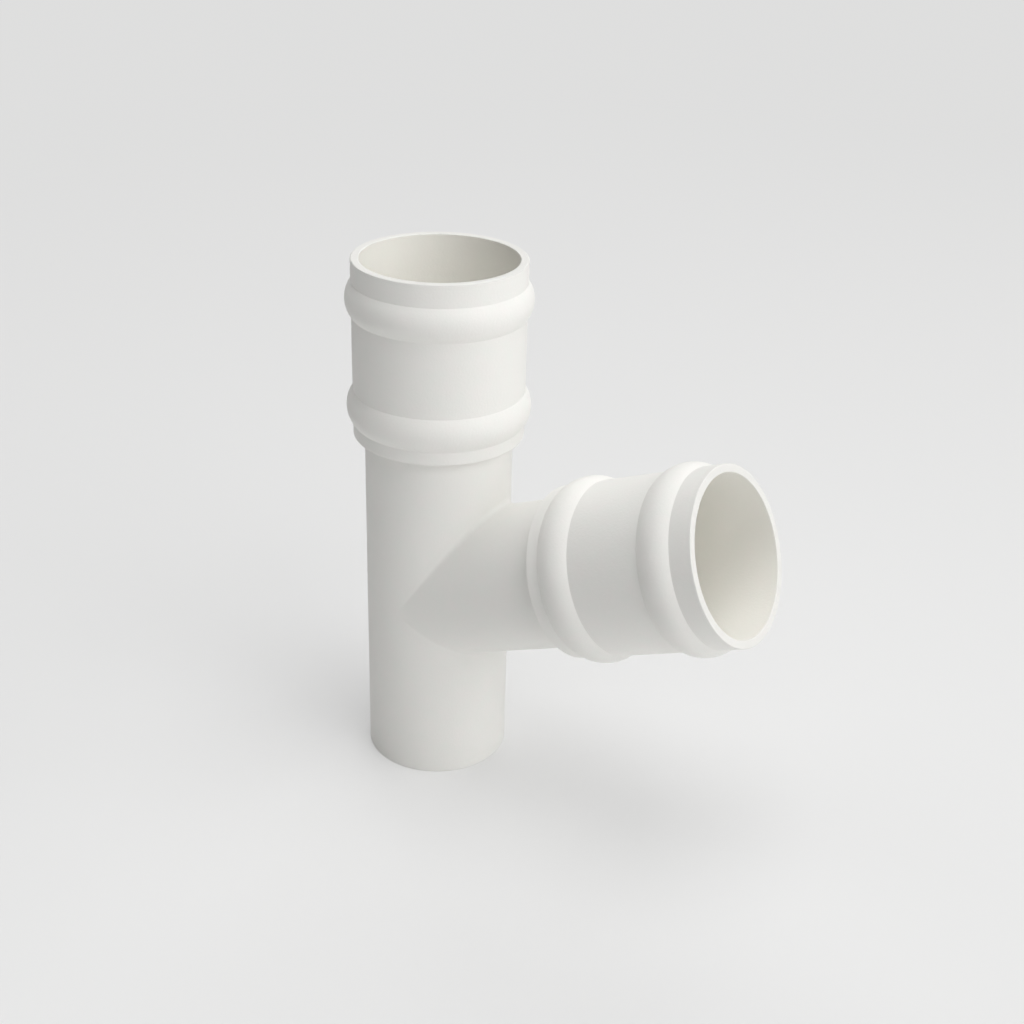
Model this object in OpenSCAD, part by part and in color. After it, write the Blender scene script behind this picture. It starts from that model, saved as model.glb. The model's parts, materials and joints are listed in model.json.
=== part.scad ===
// Downpipe branch: an upright pipe with a plain spigot below and a beaded socket on top, and an arm
// of the same pipe, with the same socket at its mouth, that rises from its side.
// One moulding. Millimetres, +Z up. The origin is the centre of the spigot's end, and the arm
// leans towards +X.

/* [Pipe] */
// Outside diameter of the plain pipe
pipe_od = 68; // [60:1:76]
// Wall of the plain pipe
pipe_wall = 3; // [2:0.25:5]
// Rounding of the edges at the spigot's end and at both ends of a socket
edge_r = 0.5; // [0.2:0.1:1.2]

/* [Spigot] */
// How far the spigot's wall is relieved below the plain pipe's, so that it enters a socket
spigot_relief = 0.05; // [0.02:0.01:0.05]
// Length over which the spigot's wall rises to the plain pipe's
relief_run = 1; // [1:0.1:3]
// Plain stretch between the end of that rise and the join with the arm
join_clear = 1; // [0.5:0.1:10]

/* [Stack and arm] */
// Height of the stack, from the spigot's end to the top mouth
stack_h = 250; // [235:1:320]
// Height at which the arm's axis leaves the stack's axis
arm_z = 86.4; // [75:0.1:100]
// Length of the arm along its axis, from the stack's axis to its mouth
arm_l = 164.5; // [150:0.5:220]
// Rise of the arm above level, in degrees
arm_rise = 22.5; // [5:0.5:30]
// Radius of the fillet where the outsides of the two pipes meet
join_r = 2.5; // [1:0.25:4]

/* [Sockets] */
// Clearance between a socket's bore and the pipe it takes, all round
socket_gap = 1.3; // [0.3:0.1:2.5]
// Wall of a socket
socket_wall = 3.8; // [3:0.1:6]
// Distance from a socket's foot, where it steps down to the pipe, up to the stop inside it
stop_rise = 4.2; // [3:0.1:9]

/* [Beads] */
// Plain lip between a mouth and the first bead
lip_l = 10.2; // [6:0.1:20]
// Width of a bead along the socket
bead_w = 15.5; // [10:0.1:20]
// Height of a bead above the socket's wall
bead_h = 2.85; // [1:0.05:5]
// Plain stretch between the two beads
bead_gap = 34.8; // [20:0.1:40]
// Plain stretch from the second bead to the socket's foot
tail_l = 6.2; // [3:0.1:12]

/* [Hidden] */

// Sections round a pipe and round a bead, and along an edge's rounding
$fn = 96;
edge_steps = 4;
// How far a cutting solid runs past the face that it opens, and outlines run into each other
overlap = 1;

pipe_r = pipe_od / 2;
spigot_r = pipe_r - spigot_relief;
bore_r = pipe_r - pipe_wall;
socket_bore_r = pipe_r + socket_gap;
socket_r = socket_bore_r + socket_wall;
socket_l = lip_l + 2 * bead_w + bead_gap + tail_l;
// Radius of the arc that stands bead_h proud of the wall over a width of bead_w
bead_r = (pow(bead_w / 2, 2) + pow(bead_h, 2)) / (2 * bead_h);

// Height above the arm's axis, or below it, at which the join ends on the stack. side is 1 for the
// crease above the arm and -1 for the one below.
function join_reach(side) = (pipe_r + join_r) * tan(45 + side * arm_rise / 2);
spigot_l = arm_z - join_reach(-1) - join_clear - relief_run;

// The join's fillet is swept from side to side over this angle round the pipes, past which it is
// too thin to see. It has this many steps along it and chords across it. The chords are few, so
// that each stands clear of the walls, and odd, so that none of their edges lies on the crease.
join_sweep = 70;
join_steps = 48;
join_chords = 5;
// How far the fillet's edges sink into the walls, and its root goes in under the crease
join_bite = 0.06;
join_root = 1;

// Points of an arc about [x, y], from angle a to angle b
function arc(x, y, r, a, b, steps) =
    [for (i = [0:steps]) [x + r * cos(a + (b - a) * i / steps), y + r * sin(a + (b - a) * i / steps)]];

// First points of a run's outline: the spigot of the stack, and the plain start of the arm, which
// lies inside the stack
spigot_start = concat([[0, 0]], arc(spigot_r - edge_r, edge_r, edge_r, -90, 0, edge_steps),
    [[spigot_r, spigot_l], [pipe_r, spigot_l + relief_run]]);
arm_start = [[0, 0], [pipe_r, 0]];

// Outline, from its axis outwards, of a run of pipe of length l with a socket at its far end
module run_outline(l, start) {
    foot_z = l - socket_l;
    polygon(concat(start, [[pipe_r, foot_z + overlap], [0, foot_z + overlap]]));
    // The socket's wall, from the edge of its foot, which steps straight out from the pipe, to its mouth
    polygon(concat([[0, foot_z]], arc(socket_r - edge_r, foot_z + edge_r, edge_r, -90, 0, edge_steps),
        arc(socket_r - edge_r, l - edge_r, edge_r, 0, 90, edge_steps), [[0, l]]));
    bead_outline(l - lip_l - bead_w / 2);
    bead_outline(l - lip_l - bead_w * 1.5 - bead_gap);
}

// Outline of a bead centred at height z: the cap of a disc, rooted in the socket's wall
module bead_outline(z) {
    intersection() {
        translate([socket_r + bead_h - bead_r, z]) circle(r = bead_r);
        translate([socket_r - overlap, z - bead_w / 2 - overlap])
            square([bead_h + 2 * overlap, bead_w + 2 * overlap]);
    }
}

// Hollow of a run of pipe of length l: the waterway from height first, the stop and the socket's bore
module run_hollow(l, first) {
    stop = l - socket_l + stop_rise;
    rotate_extrude() {
        translate([0, first]) square([bore_r, stop + overlap - first]);
        polygon(concat([[0, stop], [socket_bore_r, stop]],
            arc(socket_bore_r + edge_r, l - edge_r, edge_r, 180, 90, edge_steps),
            [[socket_bore_r + edge_r, l + overlap], [0, l + overlap]]));
    }
}

// Places what is drawn upright along the arm's axis
module along_arm() {
    translate([0, 0, arm_z]) rotate([0, 90 - arm_rise, 0]) children();
}

// The join's fillet is the surface of a ball of radius join_r that rolls round the crease in
// touch with both pipes. The pipes are alike, so at the angle t round either of them, counted
// from the arm's side, the ball touches both at once.
function join_ball(side, t) = [(pipe_r + join_r) * cos(t), (pipe_r + join_r) * sin(t),
    arm_z + side * join_reach(side) * cos(t)];
function stack_normal(t) = [cos(t), sin(t), 0];
function arm_normal(side, t) = [-side * sin(arm_rise) * cos(t), sin(t), side * cos(arm_rise) * cos(t)];

// One section of the fillet: across it from the stack to the arm, then the root under the crease
function join_section(side, t) =
    let (ball = join_ball(side, t), a = stack_normal(t), b = arm_normal(side, t), turn = acos(a * b))
    concat(
        [for (i = [0:join_chords])
            let (deep = (i == 0 || i == join_chords) ? join_r + join_bite : join_r)
            ball - deep * (sin(turn * (1 - i / join_chords)) * a + sin(turn * i / join_chords) * b) / sin(turn)],
        [ball - (join_r / cos(turn / 2) + join_root) * (a + b) / norm(a + b)]);

module join_fillet(side) {
    m = join_chords + 2;
    points = [for (j = [0:join_steps])
        each join_section(side, side * join_sweep * (2 * j / join_steps - 1))];
    walls = [for (j = [0:join_steps - 1], i = [0:m - 1])
        let (p = j * m + i, q = j * m + (i + 1) % m) each [[p, p + m, q + m], [p, q + m, q]]];
    last = join_steps * m;
    ends = [for (i = [0:m - 3]) each [[m - 1, i, i + 1], [last + m - 1, last + i + 1, last + i]]];
    polyhedron(points, concat(walls, ends));
}

module branch_body() {
    color([0.9, 0.9, 0.88]) difference() {
        union() {
            rotate_extrude() run_outline(stack_h, spigot_start);
            along_arm() rotate_extrude() run_outline(arm_l, arm_start);
            join_fillet(1);
            join_fillet(-1);
        }
        run_hollow(stack_h, -overlap);
        along_arm() run_hollow(arm_l, 0);
    }
}

branch_body();
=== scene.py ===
# %% [markdown]
# A downpipe branch takes the water of a side pipe into an upright rainwater stack. The real one is a
# single moulding in matt off-white plastic: a stack with a plain spigot below and a beaded socket on
# top, and an arm with the same socket that rises from its side.
# The packed model is loaded first and stays as it is, because it fixes every size and place. All
# that follows is built around it.

# %% Load the packed model
import json
import math

import bpy
import numpy as np
from mathutils import Matrix, Vector


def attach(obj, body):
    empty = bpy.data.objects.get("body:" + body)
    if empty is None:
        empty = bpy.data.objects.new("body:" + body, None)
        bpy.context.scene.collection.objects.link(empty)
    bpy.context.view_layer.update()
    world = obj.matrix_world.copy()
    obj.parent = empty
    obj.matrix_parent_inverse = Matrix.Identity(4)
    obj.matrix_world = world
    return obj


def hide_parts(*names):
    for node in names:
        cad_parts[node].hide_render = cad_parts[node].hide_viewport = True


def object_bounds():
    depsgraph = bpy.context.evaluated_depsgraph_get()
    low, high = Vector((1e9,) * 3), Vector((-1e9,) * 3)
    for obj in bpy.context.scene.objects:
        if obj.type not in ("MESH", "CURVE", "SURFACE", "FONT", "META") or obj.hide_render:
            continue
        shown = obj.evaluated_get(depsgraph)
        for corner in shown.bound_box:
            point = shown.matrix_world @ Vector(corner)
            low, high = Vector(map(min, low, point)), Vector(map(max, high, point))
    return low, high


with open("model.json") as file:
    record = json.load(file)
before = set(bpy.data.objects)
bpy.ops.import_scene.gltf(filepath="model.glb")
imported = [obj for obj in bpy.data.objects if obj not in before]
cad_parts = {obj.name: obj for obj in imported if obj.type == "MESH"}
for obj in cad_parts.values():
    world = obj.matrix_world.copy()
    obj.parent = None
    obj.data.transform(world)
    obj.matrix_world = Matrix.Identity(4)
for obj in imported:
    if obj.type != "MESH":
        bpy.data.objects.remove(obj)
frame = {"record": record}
cad_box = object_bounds()
print("packed box, metres:", [[round(c, 5) for c in corner] for corner in cad_box])

# %% [markdown]
# The camera comes before the object, so that every later choice can be judged in the photograph's
# own view. Its angles, distance and lens are those at which the model's edges fall on the
# photograph's. It could aim at an empty by a constraint, but the photograph is also rolled a little,
# so its three axes are worked out and put into one matrix. The picture's middle is a point beside
# and above the spigot's end, so the camera is that far off to the side and up.

# %% Camera
MM = 0.001
SENSOR_MM = 36.0
LENS_MM = 52.57
CAMERA_AZIMUTH = math.radians(31.254)
CAMERA_ELEVATION = math.radians(26.858)
CAMERA_ROLL = math.radians(1.724)
CAMERA_DISTANCE = 763.60
AIM_RIGHT = 38.07
AIM_UP = 111.99


def camera_matrix():
    """The camera's axes and place. Back points from the object to the camera, at the azimuth round
    the object and the elevation above the floor. Right is level and square to it, and up is their
    cross product. The roll turns right and up about back."""
    back = Vector((
        math.sin(CAMERA_AZIMUTH) * math.cos(CAMERA_ELEVATION),
        -math.cos(CAMERA_AZIMUTH) * math.cos(CAMERA_ELEVATION),
        math.sin(CAMERA_ELEVATION),
    ))
    level = Vector((math.cos(CAMERA_AZIMUTH), math.sin(CAMERA_AZIMUTH), 0))
    right = Matrix.Rotation(CAMERA_ROLL, 3, back) @ level
    up = back.cross(right)
    place = (CAMERA_DISTANCE * back + AIM_RIGHT * right + AIM_UP * up) * MM
    axes = Matrix((right, up, back)).transposed().to_4x4()
    return Matrix.Translation(place) @ axes


camera_data = bpy.data.cameras.new("camera")
camera_data.sensor_width = SENSOR_MM
camera_data.lens = LENS_MM
camera = bpy.data.objects.new("camera", camera_data)
camera.matrix_world = camera_matrix()
bpy.context.scene.collection.objects.link(camera)
bpy.context.scene.camera = camera
print("camera at, metres:", [round(c, 4) for c in camera.matrix_world.translation])

# %% [markdown]
# The sizes are millimetres until the mesh is made. Those that the packed record states, such as the
# radius of a socket's bore or the arm's direction, are read from it. The rest are the moulding's own
# and repeat the values that its solid was made with.

# %% Sizes of the moulding
SPIGOT_RELIEF = 0.05
RELIEF_RUN = 1.0
PIPE_WALL = 3.0
EDGE_R = 0.5
JOIN_R = 2.5
JOIN_CLEAR = 1.0
SOCKET_WALL = 3.8
LIP_L = 10.2
BEAD_W = 15.5
BEAD_H = 2.85
BEAD_GAP = 34.8
TAIL_L = 6.2

mounts = {mount["name"]: mount for mount in frame["record"]["mounts"]}
PIPE_R = mounts["spigot"]["dims"]["r_mm"] + SPIGOT_RELIEF
BORE_R = PIPE_R - PIPE_WALL
SOCKET_BORE_R = mounts["top_socket"]["dims"]["r_mm"]
SOCKET_R = SOCKET_BORE_R + SOCKET_WALL
SOCKET_L = LIP_L + 2 * BEAD_W + BEAD_GAP + TAIL_L
STOP_DEPTH = mounts["top_socket"]["dims"]["length_mm"] + EDGE_R
BEAD_R = ((BEAD_W / 2) ** 2 + BEAD_H ** 2) / (2 * BEAD_H)

STACK_H = cad_box[1].z / MM
arm_along = np.array(mounts["arm_socket"]["axis"])
arm_mouth = np.array(mounts["arm_socket"]["pos_m"]) / MM
ARM_RISE = math.atan2(arm_along[2], arm_along[0])
ARM_Z = arm_mouth[2] - arm_mouth[0] * math.tan(ARM_RISE)
ARM_L = arm_mouth[0] / math.cos(ARM_RISE) + EDGE_R
print(f"stack {STACK_H:.1f}, arm {ARM_L:.1f} from {ARM_Z:.1f} up")
print(f"the arm rises at {math.degrees(ARM_RISE):.1f} degrees")
print(f"socket {2 * SOCKET_R:.1f} across and {SOCKET_L:.1f} long, bead's radius {BEAD_R:.2f}")

# %% [markdown]
# Nearly all of the moulding is turned: a profile, given as a radius and a height, goes round an
# axis. The Spin tool or a Screw modifier would do that from a drawn outline. Here the points are
# worked out as arrays instead, which gives each of them its exact normal too. A long wall beside a
# tiny rounded edge then shades as it should, and a crease stays crisp, with no bevel needed.
# A profile runs so that the plastic is on its left.

# %% Stretches of a profile
ARC_STEP = math.radians(7.5)
WALL_STEP = 9.0


def wall(r0, h0, r1, h1):
    """A straight stretch from one radius and height to another: equal steps along the line. The
    normal is the direction of travel turned a quarter to the right."""
    length = math.hypot(r1 - r0, h1 - h0)
    share = np.linspace(0, 1, max(1, round(length / WALL_STEP)) + 1)
    flat = np.ones_like(share)
    return np.array([
        r0 + (r1 - r0) * share,
        h0 + (h1 - h0) * share,
        (h1 - h0) / length * flat,
        (r0 - r1) / length * flat,
    ])


def rounding(centre_r, centre_h, radius, first, last):
    """A round stretch: the centre plus the radius times the cosine and sine of an angle that goes
    in equal steps from first to last, in degrees. The normal points away from the centre."""
    steps = max(3, math.ceil(abs(math.radians(last - first)) / ARC_STEP))
    angle = np.radians(np.linspace(first, last, steps + 1))
    out, along = np.cos(angle), np.sin(angle)
    return np.array([centre_r + radius * out, centre_h + radius * along, out, along])


def bead(height):
    """The cap of a disc that stands BEAD_H proud of the socket's wall over a width of BEAD_W,
    centred at this height."""
    half = math.degrees(math.asin(BEAD_W / 2 / BEAD_R))
    return rounding(SOCKET_R + BEAD_H - BEAD_R, height, BEAD_R, -half, half)


def socket_profile(mouth):
    """The stretches of a socket whose mouth is at this height, from the step at its foot, up over
    both beads, round the rim and down inside to the inner edge of its stop."""
    foot = mouth - SOCKET_L
    stop = mouth - STOP_DEPTH
    outer_bead = mouth - LIP_L - BEAD_W / 2
    inner_bead = outer_bead - BEAD_W - BEAD_GAP
    return [
        wall(PIPE_R, foot, SOCKET_R - EDGE_R, foot),
        rounding(SOCKET_R - EDGE_R, foot + EDGE_R, EDGE_R, -90, 0),
        wall(SOCKET_R, foot + EDGE_R, SOCKET_R, inner_bead - BEAD_W / 2),
        bead(inner_bead),
        wall(SOCKET_R, inner_bead + BEAD_W / 2, SOCKET_R, outer_bead - BEAD_W / 2),
        bead(outer_bead),
        wall(SOCKET_R, mouth - LIP_L, SOCKET_R, mouth - EDGE_R),
        rounding(SOCKET_R - EDGE_R, mouth - EDGE_R, EDGE_R, 0, 90),
        wall(SOCKET_R - EDGE_R, mouth, SOCKET_BORE_R + EDGE_R, mouth),
        rounding(SOCKET_BORE_R + EDGE_R, mouth - EDGE_R, EDGE_R, 90, 180),
        wall(SOCKET_BORE_R, mouth - EDGE_R, SOCKET_BORE_R, stop),
        wall(SOCKET_BORE_R, stop, BORE_R, stop),
    ]


def spigot_profile(top):
    """The stretches of the spigot's end, from its bore outwards, and up to where the wall has
    risen to the plain pipe's at the height top."""
    spigot_r = PIPE_R - SPIGOT_RELIEF
    return [
        wall(BORE_R, 0, spigot_r - EDGE_R, 0),
        rounding(spigot_r - EDGE_R, EDGE_R, EDGE_R, -90, 0),
        wall(spigot_r, EDGE_R, spigot_r, top - RELIEF_RUN),
        wall(spigot_r, top - RELIEF_RUN, PIPE_R, top),
    ]


print("stretches in a socket's profile:", len(socket_profile(STACK_H)))

# %% [markdown]
# An axis has a place, a direction along it, and two more square to it from which the turn is
# counted: for the stack from the arm's side, and for the arm from its top. Two pipes of one size
# whose axes cross meet on two flat half ellipses. Seen round either pipe, that crease is simply a
# cosine, so where each pipe begins is known at every angle and nothing needs to be cut by a Boolean,
# which would leave long thin faces.

# %% Axes and the join
TURN_STEPS = 256
TURN = np.linspace(-math.pi, math.pi, TURN_STEPS + 1)
FRONT = TURN[TURN_STEPS // 4:3 * TURN_STEPS // 4 + 1]

sin_rise, cos_rise = math.sin(ARM_RISE), math.cos(ARM_RISE)
STACK = (np.zeros(3), np.array([0, 0, 1.0]), np.array([1.0, 0, 0]), np.array([0, 1.0, 0]))
ARM = (
    np.array([0, 0, ARM_Z]),
    np.array([cos_rise, 0, sin_rise]),
    np.array([-sin_rise, 0, cos_rise]),
    np.array([0, 1.0, 0]),
)


def about(axis, radius, height, turn):
    """Points about an axis: its place, plus the height along it, plus the radius times the cosine
    of the turn one way and the sine the other."""
    place, along, ahead, beside = axis
    out = np.cos(turn)[..., None] * ahead + np.sin(turn)[..., None] * beside
    return place + np.asarray(height)[..., None] * along + np.asarray(radius)[..., None] * out


def turned(axis, profile):
    """Points and normals of a profile carried once round an axis."""
    radius, height, out, along = profile[:, :, None]
    points = about(axis, radius, height, TURN[None])
    return points, about((0, *axis[1:]), out, along, TURN[None])


def join_reach(side, radius):
    """How far along its axis a pipe's wall begins, straight above the arm where side is 1 and
    below it where side is -1: the radius times the tangent of half the angle between the axes."""
    return radius * math.tan(math.radians(45) + side * ARM_RISE / 2)


def stack_start(side, radius):
    """Height at which the stack's wall ends at the join, round the stack: the cosine of the turn
    on the arm's side, and the join's own height at the back."""
    return ARM_Z + side * join_reach(side, radius) * np.maximum(np.cos(TURN), 0)


def arm_start(radius):
    """Distance at which the arm's wall begins, round the arm: one cosine over its upper half and
    another over its lower."""
    return np.maximum(join_reach(1, radius) * np.cos(TURN), -join_reach(-1, radius) * np.cos(TURN))


def trimmed(axis, radius, start, end, facing):
    """A pipe's wall between two heights that may change round the axis. facing is 1 for an outer
    wall and -1 for a bore."""
    start, end = np.broadcast_arrays(start, end, TURN)[:2]
    steps = max(1, round(np.abs(end - start).max() / WALL_STEP))
    share = np.linspace(0, 1, steps + 1)[:, None]
    points = about(axis, radius, start + (end - start) * share, TURN[None])
    return points, np.broadcast_to(about((0, *axis[1:]), facing, 0, TURN), points.shape)


print("the join reaches", round(join_reach(1, PIPE_R + JOIN_R), 2), "mm up the stack")

# %% [markdown]
# Outside, the crease is filled by a small concave rounding, as every mould has there. A Bevel
# modifier can't follow a crease that fades out, so the rounding is taken as the path of a ball that
# rolls along it in touch with both pipes. At each turn the ball touches the stack and the arm where
# their own normals point at its centre, and the surface between is the arc from one touch to the
# other. At the sides the two touches come together and the rounding ends in a point.

# %% The rounding at the join
FILLET_STEPS = 10
LEAST_ANGLE = 1e-9


def fillet(side):
    """Points and normals of the rounding above the arm, side 1, or below it, side -1. The normal
    goes from the stack's to the arm's in equal angles, and the point is the ball's centre less the
    ball's radius times the normal. At the sides the two normals agree, and the least angle keeps
    the division whole."""
    turn = FRONT[None]
    reach = join_reach(side, PIPE_R + JOIN_R)
    centre = about(STACK, PIPE_R + JOIN_R, ARM_Z + side * reach * np.cos(turn), turn)
    stack_normal = about((0, *STACK[1:]), 1, 0, turn)
    up_arm = np.array([-side * sin_rise, 0, side * cos_rise])
    arm_normal = np.cos(turn)[..., None] * up_arm + np.sin(turn)[..., None] * ARM[3]
    between = np.arccos(np.clip((stack_normal * arm_normal).sum(-1, keepdims=True), -1, 1))
    between = np.maximum(between, LEAST_ANGLE)
    share = np.linspace(0, 1, FILLET_STEPS + 1)[:, None, None]
    normals = np.sin(between * (1 - share)) * stack_normal + np.sin(between * share) * arm_normal
    normals = normals / np.sin(between)
    return centre - JOIN_R * normals, normals


print("rounding above the arm:", fillet(1)[0].shape[:2], "points")

# %% [markdown]
# Every stretch is now a patch, a grid of points that ends exactly where the next begins. Joining
# them as objects and merging by distance would work too, but the patches' own normals would be
# lost, so points that fall together are found here by number. Corners keep the normals of the patch
# that they came from. Where a rounding ends in a point, a face loses a corner.

# %% Patches into one closed mesh
WELD = 1e-5
CELL_SHIFT = 0.37


def patch_faces(points, normals, first):
    """Corner numbers of a grid's faces, in the order that turns them towards the normals: the
    cross product of a face's diagonals tells which way it looks."""
    index = np.arange(points.shape[0] * points.shape[1]).reshape(points.shape[:2]) + first
    faces = np.stack([index[:-1, :-1], index[:-1, 1:], index[1:, 1:], index[1:, :-1]], -1)
    faces = faces.reshape(-1, 4)
    looks = np.cross(points[1:, 1:] - points[:-1, :-1], points[1:, :-1] - points[:-1, 1:])
    return faces if (looks * normals[1:, 1:]).sum() > 0 else faces[:, ::-1]


def welded(points, faces):
    """Number of each point after those that fall in one tiny cell are made one, and the first
    point of each cell. The shift keeps round numbers off the cells' edges."""
    cell = np.floor(points / WELD + CELL_SHIFT).astype(np.int64)
    _, first, number = np.unique(cell, axis=0, return_index=True, return_inverse=True)
    return points[first], number.ravel()[faces]


def piece_from(name, patches):
    """One object from (points, normals) patches in millimetres. A face that lost a corner in the
    weld becomes a triangle."""
    sizes = np.cumsum([0] + [p.shape[0] * p.shape[1] for p, _ in patches])
    corners = np.concatenate([patch_faces(p, n, first) for (p, n), first in zip(patches, sizes)])
    points = np.concatenate([p.reshape(-1, 3) for p, _ in patches])
    normals = np.concatenate([n.reshape(-1, 3) for _, n in patches])
    vertices, faces = welded(points, corners)

    kept = faces != np.roll(faces, 1, axis=1)
    whole = kept.all(1)
    short = kept.sum(1) == 3
    face_list = faces[whole].tolist() + faces[short][kept[short]].reshape(-1, 3).tolist()
    corner_list = np.concatenate([corners[whole].ravel(), corners[short][kept[short]]])

    mesh = bpy.data.meshes.new(name)
    mesh.from_pydata((vertices * MM).tolist(), [], face_list)
    mesh.shade_smooth()
    mesh.normals_split_custom_set(normals[corner_list].tolist())
    piece = bpy.data.objects.new(name, mesh)
    bpy.context.scene.collection.objects.link(piece)
    return piece


def outer_patches():
    """The outside walls: each socket, the pipes between the sockets and the join, and the spigot."""
    reach = PIPE_R + JOIN_R
    spigot_top = ARM_Z - join_reach(-1, reach) - JOIN_CLEAR
    patches = [turned(STACK, p) for p in socket_profile(STACK_H) + spigot_profile(spigot_top)]
    patches += [turned(ARM, p) for p in socket_profile(ARM_L)]
    patches.append(trimmed(STACK, PIPE_R, spigot_top, stack_start(-1, reach), 1))
    patches.append(trimmed(STACK, PIPE_R, stack_start(1, reach), STACK_H - SOCKET_L, 1))
    patches.append(trimmed(ARM, PIPE_R, arm_start(reach), ARM_L - SOCKET_L, 1))
    return patches + [fillet(1), fillet(-1)]


def bore_patches():
    """The waterway: the stack's bore below and above the join, and the arm's."""
    return [
        trimmed(STACK, BORE_R, 0, stack_start(-1, BORE_R), -1),
        trimmed(STACK, BORE_R, stack_start(1, BORE_R), STACK_H - STOP_DEPTH, -1),
        trimmed(ARM, BORE_R, arm_start(BORE_R), ARM_L - STOP_DEPTH, -1),
    ]


moulding = piece_from("branch_moulding", outer_patches() + bore_patches())
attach(moulding, "root")
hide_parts("branch_body")
print("moulding:", len(moulding.data.vertices), "points")

# %% [markdown]
# A moulding is one closed skin round its plastic, so it is worth proving that this one is. On a
# closed mesh every edge is run once each way by the two triangles beside it. The volume inside comes
# from the same triangles, and it should be the packed solid's.

# %% Measure the mesh
def closed_volume(mesh):
    """Number of edges that aren't run once each way, volume in cubic millimetres and number of
    triangles. The volume is a sixth of the sum, over the triangles, of their corners' triple
    product."""
    mesh.calc_loop_triangles()
    triangles = np.empty(len(mesh.loop_triangles) * 3, np.int32)
    mesh.loop_triangles.foreach_get("vertices", triangles)
    triangles = triangles.reshape(-1, 3)
    points = np.empty(len(mesh.vertices) * 3, np.float32)
    mesh.vertices.foreach_get("co", points)
    points = points.reshape(-1, 3).astype(float) / MM
    edges = np.concatenate([triangles[:, [0, 1]], triangles[:, [1, 2]], triangles[:, [2, 0]]])
    forward = set(map(tuple, edges.tolist()))
    open_edges = sum((b, a) not in forward for a, b in forward) + len(edges) - len(forward)
    a, b, c = (points[triangles[:, i]] for i in range(3))
    return open_edges, (a * np.cross(b, c)).sum() / 6, len(triangles)


open_edges, volume, triangle_count = closed_volume(moulding.data)
print(f"open edges {open_edges}, volume {volume:.0f} mm3, triangles {triangle_count}")

# %% [markdown]
# Self-coloured plastic is never one flat colour. The melt leaves a faint cloudiness some
# centimetres across, the mould's fine spark-eroded grain breaks up the gloss, and handling leaves
# the sheen a little uneven. An image texture would need unwrapping. Noise on Object coordinates is
# solid, so it runs through walls and round beads with no seam.
# The two classes below let a shader be written as sums: a Signal wraps a number or a node's output,
# and arithmetic on Signals adds Math nodes.

# %% Writing shaders as expressions
class Signal:
    """A number that changes over the surface, as the output of a node."""

    def __init__(self, shader, socket):
        self.shader = shader
        self.socket = socket

    def math(self, operation, first, second):
        """One operation on two numbers."""
        return self.shader.node("ShaderNodeMath", {"operation": operation}, {0: first, 1: second})

    def __add__(self, other):
        return self.math("ADD", self, other)

    def __sub__(self, other):
        return self.math("SUBTRACT", self, other)

    def __rsub__(self, other):
        return self.math("SUBTRACT", other, self)

    def __mul__(self, other):
        return self.math("MULTIPLY", self, other)

    __radd__ = __add__
    __rmul__ = __mul__

    def greater(self, other):
        """The larger of the two."""
        return self.math("MAXIMUM", self, other)

    def clamped(self):
        """Cut to what lies between 0 and 1."""
        return self.shader.node("ShaderNodeClamp", {}, {"Value": self})


class Shader:
    """The node tree of a material or a world, with one method that adds any node."""

    # A Mix node has a pair of inputs and an output for each kind of data. These are the colours'.
    FIRST_COLOUR, SECOND_COLOUR, MIXED_COLOUR = 6, 7, 2

    def __init__(self, owner):
        self.owner = owner
        owner.use_nodes = True
        self.tree = owner.node_tree
        self.tree.nodes.clear()

    def node(self, kind, settings, inputs, output=0):
        """Adds a node, sets its settings, then fills its sockets with values or links them. Returns
        the output with this name or number as a Signal."""
        added = self.tree.nodes.new(kind)
        for key, value in settings.items():
            setattr(added, key, value)
        for key, value in inputs.items():
            if isinstance(value, Signal):
                self.tree.links.new(value.socket, added.inputs[key])
            else:
                added.inputs[key].default_value = value
        return Signal(self, added.outputs[output]) if added.outputs else None

    def noise(self, where, per_mm, detail):
        """Noise centred on zero. per_mm is how many of its lumps lie in a millimetre."""
        inputs = {"Vector": where, "Scale": per_mm / MM, "Detail": detail}
        return self.node("ShaderNodeTexNoise", {}, inputs, "Fac") - 0.5

    def vector(self, operation, first, second, output="Vector"):
        """One operation on vectors. Lengths and dot products come from the output Value."""
        inputs = {0: first, 1: second}
        return self.node("ShaderNodeVectorMath", {"operation": operation}, inputs, output)

    def mixed(self, factor, first, second):
        """A colour between two, by a factor from 0 to 1."""
        inputs = {"Factor": factor, self.FIRST_COLOUR: first, self.SECOND_COLOUR: second}
        return self.node("ShaderNodeMix", {"data_type": "RGBA"}, inputs, self.MIXED_COLOUR)


print("shader methods:", ", ".join(name for name in vars(Shader) if name[0].islower()))

# %% [markdown]
# The bores have a paler, creamier tone than the outside. It is painted bounce light, which stands in
# for the light that pale plastic lets through a wall or sends off one, and of which an opaque shader
# shows too little. The rims have a darker tone, which is painted shade: it takes down the brightness
# that the up-facing faces get from the lamps. Both could be picked out by a second material on chosen
# faces, but that would end on a hard line. Here each is a mask, worked out from the place on the
# surface and an axis, so it follows the form and fades over half the radius of an edge.

# %% Masks for the painted bounce light in the bores and the painted shade on the rims
MASK_SLOPE = 2 / EDGE_R


def from_start(shader, where, axis):
    """The place seen from an axis's start, and the height along the axis in millimetres, which is
    the dot product of the two."""
    offset = shader.vector("SUBTRACT", where, tuple(axis[0] * MM))
    return offset, shader.vector("DOT_PRODUCT", offset, tuple(axis[1]), "Value") * (1 / MM)


def on_rim(shader, where, axis, mouth):
    """1 on the face at a mouth and 0 below its rounded edges, by the height along the axis."""
    height = from_start(shader, where, axis)[1]
    return ((height - (mouth - EDGE_R)) * MASK_SLOPE).clamped()


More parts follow.
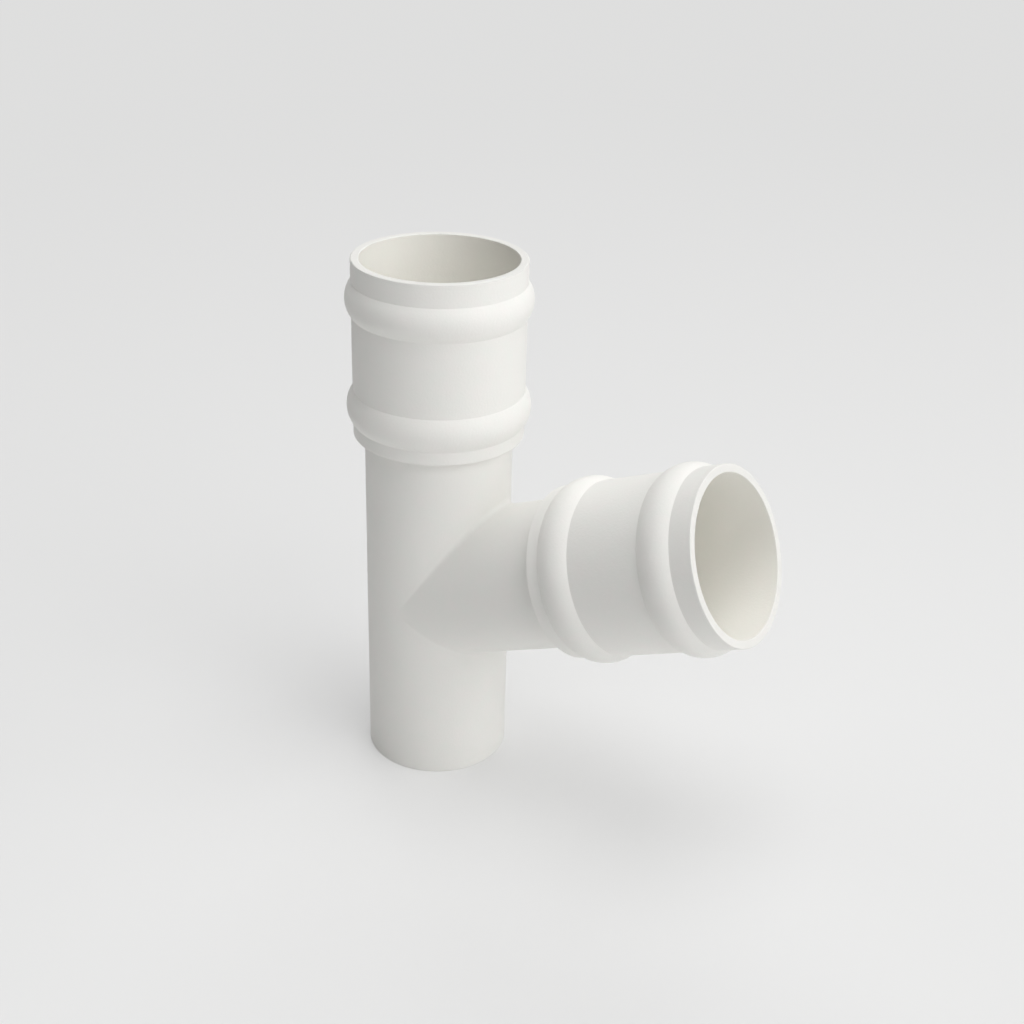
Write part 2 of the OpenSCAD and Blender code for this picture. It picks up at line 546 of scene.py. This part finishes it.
def in_bore(shader, where, axis, stop):
    """1 inside a pipe and 0 outside it or behind its start. The distance from the axis is the
    length of the cross product of the axis with the place. The limit on it is the waterway's
    radius below the stop, and the socket's from the stop on, which it reaches over the last
    millimetre before it."""
    offset, height = from_start(shader, where, axis)
    cross = shader.vector("CROSS_PRODUCT", offset, tuple(axis[1]))
    distance = shader.vector("LENGTH", cross, (0, 0, 0), "Value") * (1 / MM)
    limit = (height - (stop - 1)).clamped() * (SOCKET_BORE_R - BORE_R) + (BORE_R + EDGE_R)
    return ((limit - distance) * MASK_SLOPE).clamped() * height.clamped()


print(f"bores' mask ends {BORE_R + EDGE_R:.1f} mm from an axis below a stop")
print(f"bores' mask ends {SOCKET_BORE_R + EDGE_R:.1f} mm from an axis above a stop")

# %% [markdown]
# The plastic is a faintly warm off-white. Cloudiness and grain pull its tone a percent or two up or
# down, and patches some millimetres across lean to rose or to green, as pigment does that isn't
# quite evenly spread. The bump is a few hundredths of a millimetre, so the surface still looks plain
# from a step away, and it is too rough to mirror.
# Everything that varies is a base plus some noises, each times its share, so a finish is a short
# list of numbers.

# %% The moulding's plastic
OUTER_TONES = {
    "dark": (0.863, 0.856, 0.825, 1),
    "light": (0.893, 0.886, 0.855, 1),
    "green": (0.863, 0.876, 0.836, 1),
    "rose": (0.893, 0.866, 0.842, 1),
}
# Painted bounce light: the bores' paler, creamier tones stand in for light that comes through and off
# the walls
PAINTED_BOUNCE_TONES = {
    "dark": (0.948, 0.934, 0.880, 1),
    "light": (0.978, 0.964, 0.910, 1),
    "green": (0.948, 0.954, 0.890, 1),
    "rose": (0.978, 0.944, 0.900, 1),
}
OUTER_TINT = 0.5
BORE_TINT = 0.4
# Painted shade: the rims' darker tone takes down the light that the up-facing faces get from the
# lamps
PAINTED_RIM_SHADE = (0.740, 0.733, 0.704, 1)
RIM_SHADE_SHARE = 0.6
# Lumps in a millimetre and levels of detail
NOISES = {
    "cloud": (0.03, 3),
    "patches": (0.13, 3),
    "grain": (0.9, 2),
    "spark": (2.2, 2),
    "peel": (0.22, 2),
    "handled": (0.012, 4),
}
# A base and the noises' shares
SHADE = 0.5, {"cloud": 0.9, "grain": 0.5, "spark": 0.5}
TINT = 0.5, {"patches": 2.4}
HEIGHT_MM = 0.0, {"grain": 0.10, "spark": 0.05, "peel": 0.05}
ROUGHNESS = 0.72, {"handled": 0.12, "grain": 0.10}
SPECULAR_LEVEL = 0.25
BUMP_STRENGTH = 0.6


def summed(noises, base, shares):
    """The base plus each named noise times its share."""
    for name, share in shares.items():
        base = base + noises[name] * share
    return base


def toned(shader, tones, shade, tint, tint_share):
    """A tone between dark and light by the shade, mixed with one between green and rose by the
    tint, which has the share given."""
    shaded = shader.mixed(shade, tones["dark"], tones["light"])
    return shader.mixed(tint_share, shaded, shader.mixed(tint, tones["green"], tones["rose"]))


def moulded_plastic():
    """Off-white matt plastic. The outer tone gives way by one mask to the bores' paler tone, which is
    painted bounce light, and in part by the other to the rims' darker tone, which is painted shade.
    Roughness and height are sums of noises."""
    shader = Shader(bpy.data.materials.new("moulded_plastic"))
    where = shader.node("ShaderNodeTexCoord", {}, {}, "Object")
    noises = {name: shader.noise(where, *values) for name, values in NOISES.items()}
    shade, tint = summed(noises, *SHADE), summed(noises, *TINT)
    outside = toned(shader, OUTER_TONES, shade, tint, OUTER_TINT)
    # The tone called bore is painted bounce light, and the mask called inside puts it in the bores
    bore = toned(shader, PAINTED_BOUNCE_TONES, shade, tint, BORE_TINT)
    inside = in_bore(shader, where, STACK, STACK_H - STOP_DEPTH)
    inside = inside.greater(in_bore(shader, where, ARM, ARM_L - STOP_DEPTH))
    # The mask called rim puts painted shade on the rims
    rim = on_rim(shader, where, STACK, STACK_H).greater(on_rim(shader, where, ARM, ARM_L))
    bump = shader.node("ShaderNodeBump", {}, {
        "Strength": BUMP_STRENGTH,
        "Distance": MM,
        "Height": summed(noises, *HEIGHT_MM),
    }, "Normal")
    finish = shader.node("ShaderNodeBsdfPrincipled", {}, {
        "Base Color": shader.mixed(rim * RIM_SHADE_SHARE, shader.mixed(inside, outside, bore), PAINTED_RIM_SHADE),
        "Roughness": summed(noises, *ROUGHNESS),
        "Specular IOR Level": SPECULAR_LEVEL,
        "Normal": bump,
    })
    shader.node("ShaderNodeOutputMaterial", {}, {"Surface": finish})
    return shader.owner


moulding.data.materials.clear()
moulding.data.materials.append(moulded_plastic())
print("material:", moulding.data.materials[0].name)

# %% [markdown]
# The studio is a pale sweep with no visible edge. The camera looks down on it, so a flat floor is
# enough and no curved backdrop is needed. The floor is plain matt paint, which takes the shadow. Far
# away the lamps no longer reach it, so what the camera sees turns by degrees into an even pale tone,
# which the world behind has too. That starts with a quarter at the object, where it softens the
# shadow, and is complete a metre and a half away. The tone is seen only: it lights nothing.

# %% Floor and background
FLOOR_HALF = 9.0
FLOOR_TONE = (0.868, 0.868, 0.865, 1)
FAR_TONE = (0.735, 0.735, 0.732, 1)
FADE_START = 0.28
FADE_OVER = 2.2


def seen_directly(shader):
    """1 for a ray from the camera, or one that a glossy or clear surface sends on, and 0 for the
    rays that carry light."""
    rays = [shader.node("ShaderNodeLightPath", {}, {}, name)
            for name in ("Is Camera Ray", "Is Glossy Ray", "Is Transmission Ray")]
    return rays[0].greater(rays[1]).greater(rays[2])


def pale_floor():
    """A flat square under the spigot's end. The far tone's share is FADE_START at the object and
    grows with the distance, by one in FADE_OVER metres."""
    mesh = bpy.data.meshes.new("studio_floor")
    corners = [(x * FLOOR_HALF, y * FLOOR_HALF, 0) for x, y in ((-1, -1), (1, -1), (1, 1), (-1, 1))]
    mesh.from_pydata(corners, [], [(0, 1, 2, 3)])
    floor = bpy.data.objects.new("studio_floor", mesh)
    bpy.context.scene.collection.objects.link(floor)
    shader = Shader(bpy.data.materials.new("floor_paint"))
    paint = shader.node("ShaderNodeBsdfPrincipled", {}, {
        "Base Color": FLOOR_TONE,
        "Roughness": 1.0,
        "Specular IOR Level": 0.0,
    })
    far = shader.node("ShaderNodeEmission", {}, {"Color": FAR_TONE, "Strength": 1.0})
    where = shader.node("ShaderNodeTexCoord", {}, {}, "Object")
    distance = shader.vector("LENGTH", where, (0, 0, 0), "Value")
    faded = (distance * (1 / FADE_OVER) + FADE_START).clamped() * seen_directly(shader)
    finish = shader.node("ShaderNodeMixShader", {}, {0: faded, 1: paint, 2: far})
    shader.node("ShaderNodeOutputMaterial", {}, {"Surface": finish})
    mesh.materials.append(shader.owner)
    return floor


pale_floor()
print("floor:", 2 * FLOOR_HALF, "metres across")

# %% [markdown]
# The light is that of a shooting tent: broad lamps on all sides, each weak, so that no shadow has an
# edge. Those on the right and above are the stronger, which turns the round forms from light to
# grey towards the left. They stand far off beside the object's size, so that the floor is lit evenly.

# %% Lamps
LAMP_DISTANCE = 4.0
LAMP_SIZE = 2.6
LAMPS = {
    "top": (121, 84, 68),
    "right": (91, 25, 20),
    "right_low": (76, 8, 19),
    "right_high": (76, 42, 43),
    "far_right": (121, 25, 30),
    "front": (31, 42, 22),
    "left": (301, 62, 22),
    "back": (211, 42, 39),
}


def soft_lamp(name, azimuth, elevation, power):
    """A square lamp aimed at the object's middle. Its azimuth and elevation in degrees are counted
    as the camera's are, and its power is in watts."""
    data = bpy.data.lights.new(name, "AREA")
    data.size = LAMP_SIZE
    data.energy = power
    lamp = bpy.data.objects.new(name, data)
    a, e = math.radians(azimuth), math.radians(elevation)
    towards = Vector((math.sin(a) * math.cos(e), -math.cos(a) * math.cos(e), math.sin(e)))
    middle = (cad_box[0] + cad_box[1]) / 2
    lamp.location = middle + towards * LAMP_DISTANCE
    lamp.rotation_euler = towards.to_track_quat("Z", "Y").to_euler()
    bpy.context.scene.collection.objects.link(lamp)
    return lamp


def studio_world():
    """A world that the camera sees in the far tone, and that gives no light of its own."""
    shader = Shader(bpy.data.worlds.new("studio"))
    inputs = {"Color": FAR_TONE, "Strength": seen_directly(shader)}
    sky = shader.node("ShaderNodeBackground", {}, inputs)
    shader.node("ShaderNodeOutputWorld", {}, {"Surface": sky})
    return shader.owner


for name, (azimuth, elevation, power) in LAMPS.items():
    soft_lamp(name, azimuth, elevation, power)
bpy.context.scene.world = studio_world()
bpy.context.scene.view_settings.view_transform = "Standard"
print("lamps:", ", ".join(LAMPS))

# %% [markdown]
